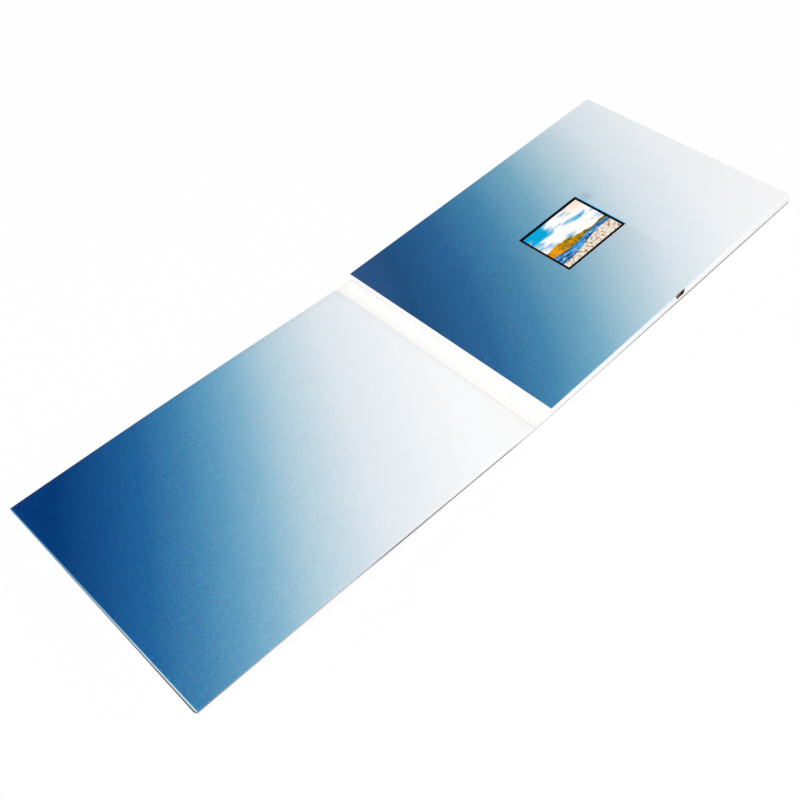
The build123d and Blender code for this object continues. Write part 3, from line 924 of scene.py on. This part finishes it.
def wavy_line(finish, across, height, swing, waves, start):
    """A gently wavy line across the picture, as a share of its height."""
    return height + finish.maths("SINE", across * waves + start) * swing


def below(finish, up, line, soft=0.01):
    """1 under a line of the picture."""
    return finish.step(up, line + soft, line - soft)


def landscape(finish):
    """The picture on the display: a bright sky over gold hills, a blue lake and a pale shore.

    Places in it are shares of its width and height.
    """
    across = (finish.x - (picture_middle.x - picture_width / 2) / mm) / (picture_width / mm)
    up = (finish.y - (picture_middle.y - picture_depth / 2) / mm) / (picture_depth / mm)
    ripple = finish.noise(4.2, 3.0)
    clouds = finish.noise(11.0, 5.0, (0.5, 1.5, 0), (4.2, 1.7, 0))
    wisps = finish.noise(3.4, 4.0, (0.4, 1.8, 0), (0.3, 2.1, 0))
    high = finish.step(up, 0.5, 1.0) * finish.step(across, 0.75, 0.1)
    sky = finish.mix(finish.step(clouds * 0.8 + wisps * 0.2 + high * 0.14, 0.50, 0.63),
                     ink(255, 253, 250), ink(0, 168, 218))
    glow = finish.step(up, 0.72, 0.95) * finish.step(across, 0.55, 1.0) * 0.5
    sky = finish.mix(glow, sky, ink(248, 196, 158))
    hill_line = (wavy_line(finish, across, height=0.43, swing=0.07, waves=5.2, start=0.6)
                 + (ripple - 0.5) * 0.07)
    woods = finish.step(ripple * 0.7 + finish.noise(1.4, 3.0) * 0.3 + across * 0.25, 0.42, 0.72)
    hills = finish.mix(woods, ink(236, 158, 10), ink(96, 100, 20))
    picture = finish.mix(below(finish, up, hill_line), sky, hills)
    lake_line = wavy_line(finish, across, height=0.31, swing=0.025, waves=7.0, start=2.4)
    ripples = finish.noise(3.2, 4.0, (0.3, 2.0, 0))
    lake = finish.mix(finish.step(ripples, 0.35, 0.62), ink(6, 48, 112), ink(72, 164, 226))
    lake = finish.mix(finish.step(finish.noise(1.3, 3.0, (0.4, 2.0, 0)), 0.60, 0.68), lake,
                      ink(226, 242, 250))
    picture = finish.mix(below(finish, up, lake_line), picture, lake)
    shore_line = wavy_line(finish, across, height=0.18, swing=0.07, waves=4.0, start=4.4)
    shore = finish.mix(finish.step(finish.noise(2.0, 4.0), 0.46, 0.66), ink(238, 232, 218),
                       ink(172, 112, 62))
    return finish.mix(below(finish, up, shore_line, 0.012), picture, shore)


def lit_display():
    """Dark glass whose picture area shines under its polished face."""
    finish = Finish("lit_display")
    half_width = picture_width / 2 / mm
    half_depth = picture_depth / 2 / mm
    x = picture_middle.x / mm
    y = picture_middle.y / mm
    lit = (finish.between(finish.x, x - half_width, x + half_width, picture_edge_mm)
           * finish.between(finish.y, y - half_depth, y + half_depth, picture_edge_mm)
           * finish.step(finish.z, *(mask_low.z / mm + depth for depth in picture_face_mm)))
    finish.shade({
        "Base Color": ink(4, 5, 6), "Roughness": 0.12 + finish.noise(3.0) * 0.06,
        "Specular IOR Level": 0.1,
        "Emission Color": finish.mix(lit, ink(0, 0, 0), landscape(finish)), "Emission Strength": 1.0})
    return finish


def slot_finishes():
    """A finish for each of the record's material slots."""
    return {
        "outer_paper": fibre_paper("outer_paper", ink(246, 246, 246), ink(238, 238, 238), 0.5,
                                   lower_cut_and_shadow),
        "print_paper": block_print(),
        "lining_paper": fibre_paper("lining_paper", ink(253, 252, 250), ink(252, 251, 248), 0.5,
                                    lining_cut_shade, 0.3),
        "board": grey_board(),
        "foam": plain_finish("filler_foam", ink(58, 58, 60), ink(34, 34, 36), 0.9, 0.5, depth=0.15),
        "white_plastic": plain_finish("white_tray", ink(240, 240, 238), ink(228, 228, 226), 0.45, 0.4),
        "clear_plastic": plain_finish("clear_guide", ink(226, 234, 238), ink(210, 222, 230), 0.12, 0.8),
        "lamp": plain_finish("lamp_body", ink(250, 244, 200), ink(246, 226, 150), 0.2, 0.5),
        "display_glass": lit_display(),
        "black_film": display_mask(),
        "chip": plain_finish("chip_resin", ink(38, 38, 41), ink(24, 24, 26), 0.6, 0.15),
        "flex": plain_finish("ribbon_film", ink(190, 120, 48), ink(158, 92, 30), 0.35, 0.6),
        "circuit_board": plain_finish("board_resist", ink(22, 96, 52), ink(12, 70, 38), 0.35, 0.7),
        "ceramic": plain_finish("chip_ceramic", ink(178, 150, 116), ink(148, 122, 92), 0.5, 0.2),
        "steel": plain_finish("plated_steel", ink(186, 184, 182), ink(150, 148, 146), 0.34, 0.3, 1.0,
                              0.006, (1, 12, 1)),
        "contact_brass": plain_finish("contact_brass", ink(226, 184, 96), ink(196, 150, 66), 0.25, 0.2,
                                      1.0),
        "connector_plastic": plain_finish("connector_nylon", ink(236, 232, 220), ink(222, 216, 202),
                                          0.45, 0.3),
        "black_plastic": plain_finish("socket_moulding", ink(86, 84, 74), ink(68, 66, 58), 0.5, 0.3,
                                      gloss=0.2),
        "battery_foil": plain_finish("battery_foil", ink(196, 198, 202), ink(170, 172, 178), 0.3, 1.2,
                                     1.0, 0.03),
        "red_insulation": plain_finish("red_lead", ink(196, 28, 24), ink(160, 18, 18), 0.4, 0.4),
        "black_insulation": plain_finish("black_lead", ink(30, 30, 32), ink(16, 16, 18), 0.4, 0.4),
        "magnet_nickel": plain_finish("nickel", ink(206, 204, 198), ink(180, 178, 172), 0.2, 0.5, 1.0),
        "speaker_film": plain_finish("speaker_film", ink(70, 72, 76), ink(48, 50, 54), 0.4, 0.6),
    }


# ---- the brochure's pieces ---------------------------------------------------------------

def build_brochure():
    """Paints the carried-over parts, and adds the dressed pieces."""
    finishes = slot_finishes()
    for part in frame["record"]["subparts"]:
        paint(frame["nodes"][part["node"]], finishes[part["material_slot"]])
    paint(frame["nodes"]["usb_shell"], socket_metal())

    paint(block_cap(), finishes["print_paper"])
    board_top = cover_thickness - paper_thickness
    cover_layer("front_cover_print", cover_start, cover_thickness, paper_thickness,
                "front_cover_inner_sheet", cover_print())
    cover_layer("front_cover_core", cover_start, board_top, board_top - paper_thickness,
                "front_cover_board", finishes["board"], holds_magnet=True)
    cover_magnet(finishes["magnet_nickel"])
    cover_layer("front_cover_wrap", cover_crease.x - crease_gap, paper_thickness, paper_thickness,
                "front_cover_outer_sheet", finishes["outer_paper"])

    outer = (spine_outer_low.x, spine_outer_high.x)
    block_side = (("block", "spine"), block_crease.x + crease_gap, block_crease.x - crease_gap)
    cover_side = (("spine", "front_cover"), cover_crease.x + crease_gap, cover_crease.x - crease_gap)
    wrap = ("outer_paper", finishes["outer_paper"])
    lining = ("lining_paper", finishes["lining_paper"])
    crease_strip("block_crease_wrap", level_path(outer[1], back_sheet_low.x, paper_thickness),
                 paper_thickness, *block_side, *wrap)
    crease_strip("block_crease_lining", foot_path, crease_paper, *block_side, *lining)
    crease_strip("cover_crease_wrap",
                 level_path(cover_crease.x - crease_gap, outer[0], paper_thickness),
                 paper_thickness, *cover_side, *wrap)
    crease_strip("cover_crease_lining", rising_path, crease_paper, *cover_side, *lining)


# ---- table, light and camera ---------------------------------------------------------------

table_size = 8.0
table_colour = ink(252, 252, 252)
table_glow = 0.86                   # share of plain white that a view of the table shows
surround_level = 0.83
flag_level = 0.05                   # of a dark flag that keeps a pale veil off the dark print
flag_side = Vector((0.30, 0.56, 0.77))
flag_rim = (0.78, 0.94)             # cosines from its middle, at its edge and where it is full
key_place = Vector((-2.2, -2.2, 4.4))
key_aim = Vector((-0.1, 0, 0))
key_size = 2.5
key_watts = 116
camera_place = (-0.36573, -0.28458, 0.42339)
camera_right = Vector((0.70961, -0.69899, -0.08875))
camera_down = Vector((-0.58238, -0.51095, -0.63226))
camera_lens = 48.105
camera_sensor = 36


def table():
    """The pale table, which views show at a plain white."""
    bpy.ops.object.select_all(action="DESELECT")
    bpy.ops.mesh.primitive_plane_add(size=table_size, location=(0, 0, 0))
    top = bpy.context.object
    top.name = "table_top"
    finish = Finish("table_white")
    finish.shade({"Base Color": table_colour, "Roughness": 0.9, "Specular IOR Level": 0.0})
    glow = finish.node("ShaderNodeEmission", {}, {"Color": (1, 1, 1, 1), "Strength": 1.0})
    path = [finish.node("ShaderNodeLightPath", {}, {}, ray)
            for ray in ("Is Camera Ray", "Is Glossy Ray", "Is Transmission Ray")]
    share = (path[0] + path[1] + path[2]) * table_glow
    both = finish.node("ShaderNodeMixShader", {},
                       {0: share, 1: Value(finish, finish.shader.outputs[0]), 2: glow})
    finish.feed(finish.tree.nodes["Material Output"].inputs["Surface"], both)
    paint(top, finish)


def softbox(name, place, aim, size, power):
    """A round soft lamp that faces its aim."""
    bpy.ops.object.light_add(type="AREA", location=place)
    lamp = bpy.context.object
    lamp.name = name
    lamp.data.shape = "DISK"
    lamp.data.size = size
    lamp.data.energy = power
    lamp.rotation_euler = (aim - place).to_track_quat("-Z", "Y").to_euler()


def studio():
    """The soft light all round, a dark flag in it, and the key lamp."""
    world = bpy.data.worlds.new("studio")
    world.use_nodes = True
    nodes = Nodes(world.node_tree)
    side = nodes.node("ShaderNodeTexCoord", output="Generated")
    toward_flag = nodes.node("ShaderNodeVectorMath", {"operation": "DOT_PRODUCT"},
                             {0: side, 1: flag_side.normalized()}, "Value")
    flag = nodes.step(toward_flag, *flag_rim)
    background = world.node_tree.nodes["Background"]
    nodes.feed(background.inputs["Color"], (1, 1, 1, 1))
    nodes.feed(background.inputs["Strength"], surround_level + flag * (flag_level - surround_level))
    bpy.context.scene.world = world
    softbox("key_softbox", key_place, key_aim, key_size, key_watts)
    bpy.context.scene.view_settings.view_transform = "Standard"


def camera():
    """The camera, from its place and the way that its picture's right and down point."""
    bpy.ops.object.camera_add(location=camera_place)
    eye = bpy.context.object
    up = -camera_down.normalized()
    right = (camera_right - up * camera_right.dot(up)).normalized()
    back = right.cross(up)
    eye.rotation_euler = Matrix((right, up, back)).transposed().to_euler()
    eye.data.lens = camera_lens
    eye.data.sensor_width = camera_sensor
    eye.data.clip_start = 0.01
    bpy.context.scene.camera = eye


build_brochure()
table()
studio()
camera()
